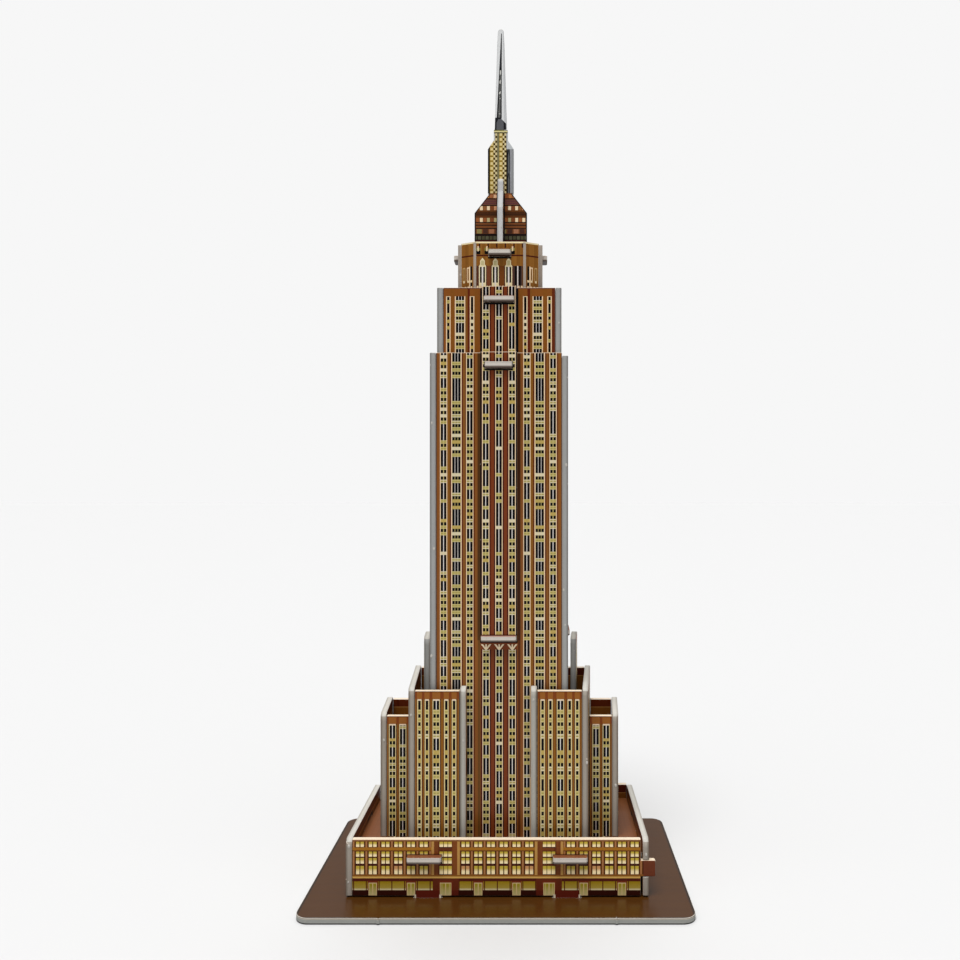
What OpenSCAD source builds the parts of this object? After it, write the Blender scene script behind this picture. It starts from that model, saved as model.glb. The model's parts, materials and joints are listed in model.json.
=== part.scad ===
// Miniature landmark model: a setback tower slotted together from flat die-cut foam boards.
// Origin at the centre of the base plate's underside, +Z up, the front facing -Y.

/* [Board] */
// Thickness of every foam board
board_t = 2.4; // [2.2:0.1:2.5]
// Clearance on each side of a tab in its slot
fit = 0.08; // [0.05:0.01:0.12]
// Chamfer on the corners of a tab
tab_chamfer = 0.5; // [0.2:0.1:0.8]

/* [Base plate] */
// Width of the base plate
base_w = 150; // [140:1:170]
// Depth of the base plate
base_d = 96; // [90:1:110]
// Corner radius of the base plate
base_r = 5.4; // [3:0.2:8]

/* [Podium] */
// Width of the podium over its side boards
podium_w = 118; // [117:1:124]
// Depth of the podium over its front and back boards
podium_d = 64; // [60:1:70]
// Height of the podium's top edges
podium_top = 25; // [24:0.2:30]
// Height of the deck's underside
deck_z = 16.5; // [16:0.1:17]
// Gap left under the podium's walls
wall_gap = 0.6; // [0.3:0.1:0.8]

/* [Main tower] */
// Width of the tower over its side boards
tower_w = 56; // [56:0.2:57]
// Depth of the tower over its front and back boards
tower_d = 36.8; // [36:0.2:38]
// Height of the tower's top edges
tower_top = 216.4; // [215:0.2:218]
// How much lower the right side board ends than the others
right_step = 1.2; // [0:0.1:2]
// Width of the bay boards on the front and back
bay_w = 14.8; // [14.4:0.2:16]
// Height of the lower floor's underside
floor_low_z = 99.9; // [98:0.1:102]
// Height of the upper floor's underside
floor_high_z = 209.8; // [209:0.1:210.4]

/* [Corner wings] */
// Distance of a wing's inner edge from the centre
wing_x = 13; // [12.5:0.1:13.5]
// Width of a front wing over its side boards
wing_w = 22.9; // [22.5:0.1:23.5]
// Depth of the wings from front to back
wing_d = 47; // [46.6:0.2:49]
// Height of the wings' front and back boards
wing_top = 80.7; // [76:0.1:90]
// Angle at which the outer boards spread towards the back
wing_splay = 4.3; // [3.5:0.1:4.4]

/* [Annexes] */
// Distance of an annex's outer edge from the centre
annex_x = 48.6; // [48:0.1:50]
// Distance of the annex's front from the centre plane
annex_front_y = 14.7; // [13:0.1:15]
// Distance of the annex's back from the centre plane
annex_back_y = 15.5; // [15:0.1:17]
// Height of the annexes' front and back boards
annex_top = 68.4; // [60:0.1:72]

/* [Side bays] */
// Gap between the tower's side and a side bay board
side_bay_gap = 1.3; // [1.2:0.1:1.6]
// Depth of the side bay boards
side_bay_d = 16; // [12:0.5:18]

/* [Upper tower] */
// Width of the upper tower over its side boards
upper_w = 50.8; // [49:0.2:51]
// Depth of the upper tower over its front and back boards
upper_d = 30.8; // [30:0.2:31]
// Height of the upper tower's top edges
upper_top = 243.4; // [242.5:0.1:246]
// Width of the upper bay boards
upper_bay_w = 14; // [13.6:0.2:15]
// Height of the upper tower's floor above the tower's upper floor
upper_floor_rise = 27.1; // [26:0.1:27.5]

/* [Crown] */
// Distance of the crown's front face from the centre
crown_y = 11.5; // [11.4:0.1:11.8]
// Half the width of the crown's middle panel
crown_fold_x = 10.3; // [9.6:0.1:10.8]
// Distance of the folded panels' ends from the centre
crown_end_x = 16.3; // [16:0.1:16.6]
// Angle at which the outer panels fold back
crown_fold = 27; // [25:0.5:28]
// Height of the crown's walls
crown_h = 24; // [22:0.2:28]
// Height of the crown floor's underside above the upper floor's top
crown_floor_rise = 17.9; // [16:0.1:18.5]

/* [Mast] */
// Half the width of the dome
dome_x = 11.15; // [10:0.05:12]
// Half the depth of the dome's crossing board
dome_y = 8.9; // [8:0.1:8.9]
// Height of the dome's straight sides
dome_h = 18.7; // [17:0.1:20]
// Half the width of the mast above the dome
shaft_x = 5.5; // [5:0.1:6]
// Height of the mast from the crown's floor to its tip
mast_h = 96.8; // [94:0.1:104]

/* [Hidden] */
$fn = 48;

// Colours of the printed film
PODIUM_BROWN = "#8a4f1c";
FACADE = "#96521a";
WING = "#8f4a18";
BAY = "#7e2f16";
DECK = "#8a6048";
GOLD = "#94601a";
BASE_BROWN = "#5a3a1c";
MAST_BROWN = "#4a2a18";

gap = 0.1;                      // air between two boards that only meet edge to face
foot_lift = 0.3;                // how far the podium's feet stay above the ground
wall_z = board_t + wall_gap;    // lower edge of the podium's walls
deck_top = deck_z + board_t;

// Podium
deck_tab_x = 28.3;
deck_tab_w = 13.3;
deck_tab_out = 2.6;             // how far the deck's tabs stand out of the walls
deck_side_tab = 15;
podium_foot_x = 27;
podium_side_foot_y = 14;
podium_foot_w = 10.7;
end_tab_z = 10.5;
end_tab_h = 6.4;
end_tab_out = 2.5;              // how far the long end tab stands out of the side
front_slack = 0.8;              // open joint at the right end of the front wall
podium_in_x = podium_w / 2 - board_t;
podium_in_y = podium_d / 2 - board_t;

// Main tower
tower_in_x = tower_w / 2 - board_t;
tower_in_y = tower_d / 2 - board_t;
tower_foot = 10;
low_tab_w = 14.2;
low_side_tab = 14;
low_side_out = 1.1;
high_tab_w = 11;
high_side_tab = 12;

// Corner wings
wing_in_x = wing_x + board_t;           // inner end of the front boards
wing_out_x = wing_x + wing_w;           // outer face at the front corner
wing_len = wing_d / cos(wing_splay);
side_rise = 1;                          // how far side boards stand above the fronts
top_r = 3.2;                            // rounding of the side boards' top corners
grip_z = 26;                            // height of the tab that grips the tower, above the deck
grip_h = 10;
wing_foot_w = 8;
wing_inner_foot_w = 3;
wing_inner_foot_u = 2.6;
wing_outer_feet = [12, 35];
// Outer ends of the wings' front and back boards, short of the spreading side board
wing_out_front = wing_out_x - board_t / cos(wing_splay) - gap;
wing_out_back = wing_out_front + (wing_d - board_t) * tan(wing_splay);

// Annexes and side bays
annex_splay = wing_splay - 0.1;
annex_len = (annex_front_y + annex_back_y) / cos(annex_splay);
annex_foot_w = 4;
annex_outer_foot_w = 8;
bay_splay = wing_splay - 0.1;
side_bay_foot_w = 7;
// Where the annexes' front and back boards start and end
annex_in_front = wing_face_x(-annex_front_y + board_t) + gap;
annex_in_back = wing_face_x(annex_back_y) + gap;
annex_out_front = annex_x - board_t / cos(annex_splay) - gap;
annex_out_back = annex_out_front
    + (annex_front_y + annex_back_y - board_t) * tan(annex_splay);
side_bay_x = tower_w / 2 + side_bay_gap + board_t;

// Upper tower and crown
upper_base = floor_high_z + board_t;
upper_in_x = upper_w / 2 - board_t;
upper_in_y = upper_d / 2 - board_t;
upper_foot = 8;
upper_tab_w = 12.3;
upper_side_tab = 10;
upper_floor_z = floor_high_z + upper_floor_rise;
crown_base = upper_floor_z + board_t;
crown_floor_z = crown_base + crown_floor_rise;
crown_tab_w = 9;
crown_tab_out = 2.6;
crown_side_tab = 7;
crown_side_out = 2;
crown_side_x = crown_end_x + 1.4;       // outer face of the crown's side boards
crown_foot = 7;
groove = 0.6;                           // half the width of the bare strip at a fold
fold_s = (crown_end_x - crown_fold_x) / cos(crown_fold);    // length of a folded panel
crown_end_y = crown_y - fold_s * sin(crown_fold);
crown_side_y = crown_end_y - board_t * cos(crown_fold) - 0.3;

// Mast
mast_base = crown_floor_z + board_t;
neck_x = 5;
neck_z = dome_h + 8.2;
shaft_top = neck_z + 18.9;
collar_x = 2.95;
spire_z = shaft_top + 8.4;
tip_r = 1.2;
mast_foot_x = 6;
mast_foot_w = 4;
cross_neck = 4.6;
cross_top = neck_z + 5.7;
lap_z = 16;                             // height at which the two mast boards lap

// Outer face of a wing's spreading side board at depth y
function wing_face_x(y) = wing_out_x + (y + wing_d / 2) * tan(wing_splay);

// A closed outline from its right half, given from one end of the middle line to the other
function both_sides(half) =
    concat(half, [for (i = [len(half) - 1:-1:0]) [-half[i].x, half[i].y]]);

// Stands a flat outline up: it runs along +X from `at`, turned about +Z, with its outer
// face on that line and its thickness behind it
module upright(at, turn, base)
    translate([at.x, at.y, base]) rotate([0, 0, turn]) rotate([90, 0, 0])
        translate([0, 0, -board_t]) linear_extrude(board_t) children();

module flat(z) translate([0, 0, z]) linear_extrude(board_t) children();

module left() mirror([1, 0, 0]) children();
module back() mirror([0, 1, 0]) children();

// A tab that leaves an edge along +Y, centred on its own x = 0
module tab(w, out) {
    c = tab_chamfer;
    polygon([[-w / 2, -0.5], [w / 2, -0.5], [w / 2, out - c], [w / 2 - c, out],
             [-w / 2 + c, out], [-w / 2, out - c]]);
}

module foot(u, w, deep = board_t) translate([u, 0]) rotate(180) tab(w, deep);

// A slot through an upright board, for a floor's tab: u is its centre, v its lower edge
module slot(u, v, w, h = board_t)
    translate([u - w / 2 - fit, v - fit]) square([w + 2 * fit, h + 2 * fit]);

// The slot that one foot of an upright board needs in the floor under it
module footprint(at, turn, u, w)
    translate(at) rotate(turn)
        translate([u - w / 2 - fit, -fit]) square([w + 2 * fit, board_t + 2 * fit]);

// Cuts away one square corner so that it is round; dir says which way the corner points
module round_off(u, v, dir) translate([u, v]) scale([dir, 1]) translate([-top_r, -top_r])
    difference() {
        square(top_r + 1);
        circle(r = top_r);
    }

module rounded_rect(w, d, r) {
    square([w - 2 * r, d], center = true);
    square([w, d - 2 * r], center = true);
    for (x = [-1, 1], y = [-1, 1]) translate([x * (w / 2 - r), y * (d / 2 - r)]) circle(r = r);
}

// Tabs of a floor: one on its front and back edges, one on each side
module floor_tabs(half_x, half_y, front_w, front_out, side_w, side_out) {
    for (a = [0, 180]) rotate(a) {
        translate([0, half_y]) tab(front_w, front_out);
        translate([half_x, 0]) rotate(-90) tab(side_w, side_out);
    }
}

// ---- Base plate and podium ----

module base_plate() color(BASE_BROWN) flat(0) {
    difference() {
        rounded_rect(base_w, base_d, base_r);
        for (a = [0, 180], s = [-1, 1]) rotate(a) {
            footprint([0, -podium_d / 2], 0, s * podium_foot_x, podium_foot_w);
            footprint([podium_w / 2, 0], 90, s * podium_side_foot_y, podium_foot_w);
        }
    }
    // Nibs left where the plate was snapped out of its sheet
    for (a = [0, 180], x = [-43.4, 45]) rotate(a) translate([x, -base_d / 2]) rotate(180) nib();
}

module nib() polygon([[-0.9, -0.5], [0.9, -0.5], [0.5, 0.3], [-0.4, 0.35]]);

// Front or back wall of the podium: a long tab at its right end passes through the side board
module podium_wall() {
    len = 2 * podium_in_x - gap - front_slack;
    mid = podium_in_x - gap;
    difference() {
        union() {
            square([len, podium_top - wall_z]);
            for (s = [-1, 1]) foot(mid + s * podium_foot_x, podium_foot_w, wall_z - foot_lift);
            translate([len, end_tab_z - wall_z + end_tab_h / 2]) rotate(-90)
                tab(end_tab_h, board_t + gap + front_slack + end_tab_out);
        }
        for (s = [-1, 1]) slot(mid + s * deck_tab_x, deck_z - wall_z, deck_tab_w);
    }
}

module podium_side() {
    h = podium_top - wall_z;
    difference() {
        union() {
            square([podium_d, h]);
            for (s = [-1, 1])
                foot(podium_d / 2 + s * podium_side_foot_y, podium_foot_w, wall_z - foot_lift);
        }
        round_off(0, h, -1);
        round_off(podium_d, h, 1);
        slot(podium_d / 2, deck_z - wall_z - 0.3, deck_side_tab + 1, board_t + 0.6);
        slot(board_t / 2, end_tab_z - wall_z, board_t + 2 * gap, end_tab_h);
    }
}

module podium_front() color(PODIUM_BROWN)
    upright([-podium_in_x + gap, -podium_d / 2], 0, wall_z) podium_wall();
module podium_back() rotate([0, 0, 180]) podium_front();
module podium_right() color(PODIUM_BROWN)
    upright([podium_w / 2, -podium_d / 2], 90, wall_z) podium_side();
module podium_left() rotate([0, 0, 180]) podium_right();

// Slots in the deck for everything that stands on it
module deck_slots() {
    for (a = [0, 180]) rotate(a) {
        footprint([0, -tower_d / 2], 0, 0, tower_foot);
        footprint([tower_w / 2, 0], 90, 0, tower_foot);
    }
    for (x = [0, 1]) mirror([x, 0]) {
        for (y = [0, 1]) mirror([0, y])
            footprint([wing_in_x, -wing_d / 2], 90, wing_inner_foot_u, wing_inner_foot_w);
        for (u = wing_outer_feet)
            footprint([wing_out_x, -wing_d / 2], 90 - wing_splay, u, wing_foot_w);
        footprint([0, -wing_d / 2], 0, (wing_in_x + gap + wing_out_front) / 2, wing_foot_w);
        footprint([0, wing_d / 2 - board_t], 0,
                  (wing_in_x + gap + wing_out_back) / 2, wing_foot_w);
        footprint([0, -annex_front_y], 0,
                  (annex_in_front + annex_out_front) / 2, annex_foot_w);
        footprint([0, annex_back_y - board_t], 0,
                  (annex_in_back + annex_out_back) / 2, annex_foot_w);
        footprint([annex_x, -annex_front_y], 90 - annex_splay,
                  annex_len / 2, annex_outer_foot_w);
        footprint([side_bay_x, -side_bay_d / 2], 90 - bay_splay,
                  side_bay_d / 2, side_bay_foot_w);
    }
}

module podium_deck() color(DECK) flat(deck_z) difference() {
    x = podium_in_x - gap;
    y = podium_in_y - gap;
    union() {
        square([2 * x, 2 * y], center = true);
        for (a = [0, 180], s = [-1, 1]) rotate(a)
            translate([s * deck_tab_x, y]) tab(deck_tab_w, board_t + gap + deck_tab_out);
        for (a = [-90, 90]) rotate(a)
            translate([0, x]) tab(deck_side_tab, board_t + gap + 1.5);
    }
    deck_slots();
}

// ---- Main tower ----

module tower_face() {
    half = tower_in_x - gap;
    translate([half, 0]) difference() {
        union() {
            translate([-half, 0]) square([2 * half, tower_top - deck_top]);
            foot(0, tower_foot);
        }
        slot(0, floor_low_z - deck_top, low_tab_w);
        slot(0, floor_high_z - deck_top, high_tab_w);
        for (s = [-1, 1]) slot(s * (wing_x + board_t / 2), grip_z, board_t, grip_h);
    }
}

module tower_side(top) translate([tower_d / 2, 0]) difference() {
    union() {
        translate([-tower_d / 2, 0]) square([tower_d, top - deck_top]);
        foot(0, tower_foot);
    }
    slot(0, floor_low_z - deck_top, low_side_tab);
    slot(0, floor_high_z - deck_top, high_side_tab);
}

module tower_front() color(FACADE)
    upright([-tower_in_x + gap, -tower_d / 2], 0, deck_top) tower_face();
module tower_back() back() tower_front();
module tower_right() color(FACADE)
    upright([tower_w / 2, -tower_d / 2], 90, deck_top) tower_side(tower_top - right_step);
module tower_left() left() color(FACADE)
    upright([tower_w / 2, -tower_d / 2], 90, deck_top) tower_side(tower_top);

// Bay board: it stands on the lower floor's tab and the upper floor's tab holds it
module bay_front() color(BAY) {
    base = floor_low_z + board_t + fit;
    upright([-bay_w / 2, -tower_d / 2 - board_t - fit], 0, base) difference() {
        square([bay_w, tower_top - base]);
        slot(bay_w / 2, floor_high_z - base, high_tab_w);
    }
}
module bay_back() back() bay_front();

module tower_floor_low() color(DECK) flat(floor_low_z) {
    x = tower_in_x - gap;
    y = tower_in_y - gap;
    square([2 * x, 2 * y], center = true);
    floor_tabs(x, y, low_tab_w, 2 * board_t + gap + 1.4, low_side_tab,
               board_t + gap + low_side_out);
}

module tower_floor_high() color(DECK) flat(floor_high_z) difference() {
    x = tower_in_x - gap;
    y = tower_in_y - gap;
    union() {
        square([2 * x, 2 * y], center = true);
        floor_tabs(x, y, high_tab_w, 2 * board_t + gap + 1.8, high_side_tab, board_t + gap);
    }
    for (a = [0, 180]) rotate(a) {
        footprint([0, -upper_d / 2], 0, 0, upper_foot);
        footprint([upper_w / 2, 0], 90, 0, upper_foot);
    }
}

// ---- Corner wings ----

// Front or back board of a wing, which ends at out_x
module wing_board(out_x) color(WING)
    upright([wing_in_x + gap, -wing_d / 2], 0, deck_top) {
        len = out_x - wing_in_x - gap;
        square([len, wing_top - deck_top]);
        foot(len / 2, wing_foot_w);
    }

// Short board between a wing's front and the tower, with a tab that grips the tower
module wing_inner() color(WING) upright([wing_in_x, -wing_d / 2], 90, deck_top) {
    len = wing_d / 2 - tower_d / 2 - gap;
    h = wing_top + side_rise - deck_top;
    difference() {
        square([len, h]);
        round_off(0, h, -1);
    }
    foot(wing_inner_foot_u, wing_inner_foot_w);
    translate([len - 1, grip_z]) square([board_t + gap + 1, grip_h]);
}

module wing_outer() color(WING)
    upright([wing_out_x, -wing_d / 2], 90 - wing_splay, deck_top) {
        h = wing_top + side_rise - deck_top;
        difference() {
            square([wing_len, h]);
            round_off(0, h, -1);
            round_off(wing_len, h, 1);
        }
        for (u = wing_outer_feet) foot(u, wing_foot_w);
    }

module wing_front_right() wing_board(wing_out_front);
module wing_front_left() left() wing_board(wing_out_front);
module wing_back_right() back() wing_board(wing_out_back);
module wing_back_left() back() left() wing_board(wing_out_back);
module wing_inner_front_right() wing_inner();
module wing_inner_front_left() left() wing_inner();
module wing_inner_back_right() back() wing_inner();
module wing_inner_back_left() back() left() wing_inner();
module wing_outer_right() wing_outer();
module wing_outer_left() left() wing_outer();

// ---- Annexes and side bays ----

// Front or back board of an annex, between in_x and out_x with its outer face at y
module annex_board(in_x, out_x, y) color(WING) upright([in_x, -y], 0, deck_top) {
    square([out_x - in_x, annex_top - deck_top]);
    foot((out_x - in_x) / 2, annex_foot_w);
}

module annex_outer() color(WING)
    upright([annex_x, -annex_front_y], 90 - annex_splay, deck_top) {
        h = annex_top + side_rise - deck_top;
        difference() {
            square([annex_len, h]);
            round_off(0, h, -1);
            round_off(annex_len, h, 1);
        }
        foot(annex_len / 2, annex_outer_foot_w);
    }

module side_bay() color(WING)
    upright([side_bay_x, -side_bay_d / 2], 90 - bay_splay, deck_top) {
        h = floor_low_z - deck_top - 0.3;
        difference() {
            square([side_bay_d, h]);
            round_off(0, h, -1);
            round_off(side_bay_d, h, 1);
        }
        foot(side_bay_d / 2, side_bay_foot_w);
    }

module annex_front_right() annex_board(annex_in_front, annex_out_front, annex_front_y);
module annex_front_left() left() annex_front_right();
module annex_back_right()
    back() annex_board(annex_in_back, annex_out_back, annex_back_y);
module annex_back_left() left() annex_back_right();
module annex_outer_right() annex_outer();
module annex_outer_left() left() annex_outer();
module side_bay_right() side_bay();
module side_bay_left() left() side_bay();

// ---- Upper tower ----

module upper_front() color(FACADE) {
    half = upper_in_x - gap;
    upright([-half, -upper_d / 2], 0, upper_base) translate([half, 0]) difference() {
        union() {
            translate([-half, 0]) square([2 * half, upper_top - upper_base]);
            foot(0, upper_foot);
        }
        slot(0, upper_floor_z - upper_base, upper_tab_w);
    }
}
module upper_back() back() upper_front();

module upper_right() color(FACADE)
    upright([upper_w / 2, -upper_d / 2], 90, upper_base)
        translate([upper_d / 2, 0]) difference() {
            union() {
                translate([-upper_d / 2, 0]) square([upper_d, upper_top - upper_base]);
                foot(0, upper_foot);
            }
            slot(0, upper_floor_z - upper_base, upper_side_tab);
        }
module upper_left() left() upper_right();

// Upper bay: it stands on the main tower's front edge
module upper_bay_front() color(BAY) {
    base = tower_top + fit;
    upright([-upper_bay_w / 2, -upper_d / 2 - board_t - fit], 0, base) difference() {
        square([upper_bay_w, upper_top - base]);
        slot(upper_bay_w / 2, upper_floor_z - base, upper_tab_w);
    }
}
module upper_bay_back() back() upper_bay_front();

module upper_floor() color(DECK) flat(upper_floor_z) difference() {
    x = upper_in_x - gap;
    y = upper_in_y - gap;
    union() {
        square([2 * x, 2 * y], center = true);
        floor_tabs(x, y, upper_tab_w, 2 * board_t + gap + 1.8, upper_side_tab, board_t + gap);
    }
    for (a = [0, 180]) rotate(a) {
        footprint([0, -crown_y], 0, 0, crown_foot);
        footprint([crown_side_x, 0], 90, 0, crown_foot);
    }
}

// ---- Crown ----

// Half of the folded front board seen from above, from its middle to its right end. The
// outer skin is parted at the fold, which leaves a narrow flat strip there.
function folded_half() = let (
        out = [cos(crown_fold), sin(crown_fold)],
        inward = [-sin(crown_fold), cos(crown_fold)] * board_t,
        fold = [crown_fold_x, -crown_y],
        end = fold + out * fold_s
    ) [
        fold - [groove, 0], fold + out * groove, end, end + inward,
        [crown_fold_x - board_t * tan(crown_fold / 2), -crown_y + board_t]
    ];

module crown_front() color(GOLD) difference() {
    union() {
        translate([0, 0, crown_base]) linear_extrude(crown_h)
            polygon(both_sides(folded_half()));
        upright([0, -crown_y], 0, crown_base) foot(0, crown_foot);
    }
    translate([0, -crown_y - 1, 0]) rotate([90, 0, 0]) translate([0, 0, -board_t - 2])
        linear_extrude(board_t + 2) slot(0, crown_floor_z, crown_tab_w);
}
module crown_back() back() crown_front();

module crown_right() color(GOLD)
    upright([crown_side_x, -crown_side_y], 90, crown_base)
        translate([crown_side_y, 0]) difference() {
            union() {
                translate([-crown_side_y, 0]) square([2 * crown_side_y, crown_h]);
                foot(0, crown_foot);
            }
            slot(0, crown_floor_z - crown_base, crown_side_tab);
        }
module crown_left() left() crown_right();

module crown_floor() color(GOLD) flat(crown_floor_z) difference() {
    x = crown_side_x - board_t - gap;
    y = crown_y - board_t - gap;
    corner = crown_fold_x - board_t * tan(crown_fold / 2) - gap;
    side = y - (x - corner) * tan(crown_fold) - gap;
    union() {
        polygon(both_sides([[corner, -y], [x, -side], [x, side], [corner, y]]));
        floor_tabs(x, y, crown_tab_w, board_t + gap + crown_tab_out, crown_side_tab,
                   board_t + gap + crown_side_out);
    }
    for (a = [0, 90, 180, 270]) rotate(a)
        footprint([0, -board_t / 2], 0, mast_foot(a), mast_foot_w);
}

// ---- Mast ----

// Distance of a mast foot from the centre: further out along X than along Y
function mast_foot(a) = a % 180 == 0 ? mast_foot_x : mast_foot_x - 1;

// One half of the front blade's outline, from the crown's floor to the tip
function blade_half() = [
    [dome_x, 0], [dome_x, dome_h], [neck_x, neck_z - 0.3], [neck_x, neck_z],
    [shaft_x, neck_z + 0.2], [shaft_x, shaft_top], [collar_x, shaft_top + 3.8],
    [collar_x, spire_z - 0.3], [2.6, spire_z], [2, spire_z + 21.2],
    [1.45, mast_h - 5.4], [tip_r, mast_h - tip_r]
];

module mast_front() color(MAST_BROWN)
    translate([0, -board_t / 2, 0]) upright([0, 0], 0, mast_base) difference() {
        union() {
            polygon(both_sides(blade_half()));
            translate([0, mast_h - tip_r]) circle(r = tip_r);
            for (s = [-1, 1]) foot(s * mast_foot(0), mast_foot_w);
        }
        translate([-board_t / 2 - fit, -1]) square([board_t + 2 * fit, lap_z + 1]);
    }

module mast_cross() color(MAST_BROWN)
    translate([board_t / 2, 0, 0]) upright([0, 0], 90, mast_base) difference() {
        union() {
            polygon(both_sides([
                [dome_y, 0], [dome_y, dome_h], [cross_neck, neck_z],
                [cross_neck, cross_top - 1.5], [cross_neck - 1.5, cross_top]
            ]));
            for (s = [-1, 1]) foot(s * mast_foot(90), mast_foot_w);
        }
        translate([-board_t / 2 - fit, lap_z - fit])
            square([board_t + 2 * fit, cross_top]);
    }

base_plate();
podium_front();
podium_back();
podium_left();
podium_right();
podium_deck();
tower_front();
tower_back();
tower_left();
tower_right();
bay_front();
bay_back();
tower_floor_low();
tower_floor_high();
wing_front_left();
wing_front_right();
wing_back_left();
wing_back_right();
wing_inner_front_left();
wing_inner_front_right();
wing_inner_back_left();
wing_inner_back_right();
wing_outer_left();
wing_outer_right();
annex_front_left();
annex_front_right();
annex_back_left();
annex_back_right();
annex_outer_left();
annex_outer_right();
side_bay_left();
side_bay_right();
upper_front();
upper_back();
upper_left();
upper_right();
upper_bay_front();
upper_bay_back();
upper_floor();
crown_front();
crown_back();
crown_left();
crown_right();
crown_floor();
mast_front();
mast_cross();
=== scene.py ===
"""Looks of a slot-together foam-board tower model: printed film on both faces of each board,
bare foam along the cut edges, small nibs where the boards were snapped out of their sheets."""

import json
import math

import bmesh
import bpy
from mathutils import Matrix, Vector

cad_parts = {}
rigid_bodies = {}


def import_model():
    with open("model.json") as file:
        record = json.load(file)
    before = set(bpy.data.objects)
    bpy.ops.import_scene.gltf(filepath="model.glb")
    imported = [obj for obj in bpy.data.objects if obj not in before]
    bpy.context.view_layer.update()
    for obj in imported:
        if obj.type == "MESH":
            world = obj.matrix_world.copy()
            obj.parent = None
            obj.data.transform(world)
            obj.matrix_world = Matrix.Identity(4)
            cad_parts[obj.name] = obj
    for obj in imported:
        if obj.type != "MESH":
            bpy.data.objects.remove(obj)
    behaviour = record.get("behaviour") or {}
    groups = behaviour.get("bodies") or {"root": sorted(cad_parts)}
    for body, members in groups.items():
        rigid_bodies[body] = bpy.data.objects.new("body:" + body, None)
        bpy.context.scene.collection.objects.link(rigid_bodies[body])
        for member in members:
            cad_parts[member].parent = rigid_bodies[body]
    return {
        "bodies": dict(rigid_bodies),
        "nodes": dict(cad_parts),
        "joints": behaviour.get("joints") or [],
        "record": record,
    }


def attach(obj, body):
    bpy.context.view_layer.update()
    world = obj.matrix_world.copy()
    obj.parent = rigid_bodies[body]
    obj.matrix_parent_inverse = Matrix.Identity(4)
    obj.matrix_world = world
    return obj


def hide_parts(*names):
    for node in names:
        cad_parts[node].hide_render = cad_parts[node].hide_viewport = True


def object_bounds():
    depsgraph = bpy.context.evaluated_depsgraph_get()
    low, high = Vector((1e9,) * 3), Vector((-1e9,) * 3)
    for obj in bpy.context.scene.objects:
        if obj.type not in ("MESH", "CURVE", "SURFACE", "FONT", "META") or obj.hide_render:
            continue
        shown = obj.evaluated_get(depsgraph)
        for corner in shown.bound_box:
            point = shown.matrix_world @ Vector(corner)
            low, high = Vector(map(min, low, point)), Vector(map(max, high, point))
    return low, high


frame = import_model()
CAD_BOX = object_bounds()

MM = 0.001
BODY = "root"


def foot_of(node):
    """The lowest height of a CAD board, mm."""
    return round(min(v.co.z for v in frame["nodes"][node].data.vertices) / MM, 2)


def top_of(node):
    """The greatest height of a CAD board, mm."""
    return round(max(v.co.z for v in frame["nodes"][node].data.vertices) / MM, 2)


# ---------------------------------------------------------------- camera

CAMERA_PLACE = (0.0158, -0.3663, 0.1624)    # metres
SENSOR, LENS = 36, 32.25                    # mm
SHIFT = (-0.0604, 0.00625)                  # of the frame, in widths of the picture


def add_camera():
    """A level camera to the right of the middle, its frame shifted instead of turned."""
    data = bpy.data.cameras.new("camera")
    data.sensor_width = SENSOR
    data.lens = LENS
    data.shift_x, data.shift_y = SHIFT
    camera = bpy.data.objects.new("camera", data)
    camera.location = CAMERA_PLACE
    camera.rotation_euler = (math.radians(90), 0, 0)
    bpy.context.scene.collection.objects.link(camera)
    bpy.context.scene.camera = camera


add_camera()


# ---------------------------------------------------------------- colours and fields

def linear(code):
    """A colour written as #rrggbb, as the linear RGBA that Blender's sockets take."""
    parts = [int(code[i:i + 2], 16) / 255 for i in (1, 3, 5)]
    return (*(p / 12.92 if p <= 0.04045 else ((p + 0.055) / 1.055) ** 2.4 for p in parts), 1)


class Num:
    """A number that varies over a surface: the output of a Math node. Comparisons give masks
    of 0 and 1, which | joins and & overlaps; on plain numbers | takes the larger one."""

    def __init__(self, paint, socket):
        self.paint, self.socket = paint, socket

    def __add__(self, other):
        return self.paint.math("ADD", self, other)

    __radd__ = __add__

    def __sub__(self, other):
        return self.paint.math("SUBTRACT", self, other)

    def __rsub__(self, other):
        return self.paint.math("SUBTRACT", other, self)

    def __mul__(self, other):
        return self.paint.math("MULTIPLY", self, other)

    __rmul__ = __mul__

    def __truediv__(self, other):
        return self.paint.math("DIVIDE", self, other)

    def __lt__(self, other):
        return self.paint.math("LESS_THAN", self, other)

    def __gt__(self, other):
        return self.paint.math("GREATER_THAN", self, other)

    def __abs__(self):
        return self.paint.math("ABSOLUTE", self)

    def __or__(self, other):
        return self.paint.math("MAXIMUM", self, other)

    def __and__(self, other):
        return self.paint.math("MULTIPLY", self, other)

    def floor(self):
        return self.paint.math("FLOOR", self)

    def round(self):
        return self.paint.math("ROUND", self)

    def without(self, other):
        """This mask less another mask."""
        return self * (1 - other)

    def near(self, centre, half):
        """1 within half of centre, else 0."""
        return abs(self - centre) < half

    def between(self, low, high):
        """1 between low and high, else 0."""
        return self.near((low + high) / 2, (high - low) / 2)

    def ramp(self, low, high):
        """Rises smoothly from 0 at low to 1 at high."""
        return self.paint.math("MINIMUM", ((self - low) / (high - low)) | 0.0, 1.0)

    def repeated(self, pitch, offset=0.0):
        """Distance from the nearest multiple of pitch, counted from offset."""
        cells = (self - offset) / pitch
        return abs(cells - cells.round()) * pitch


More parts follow.
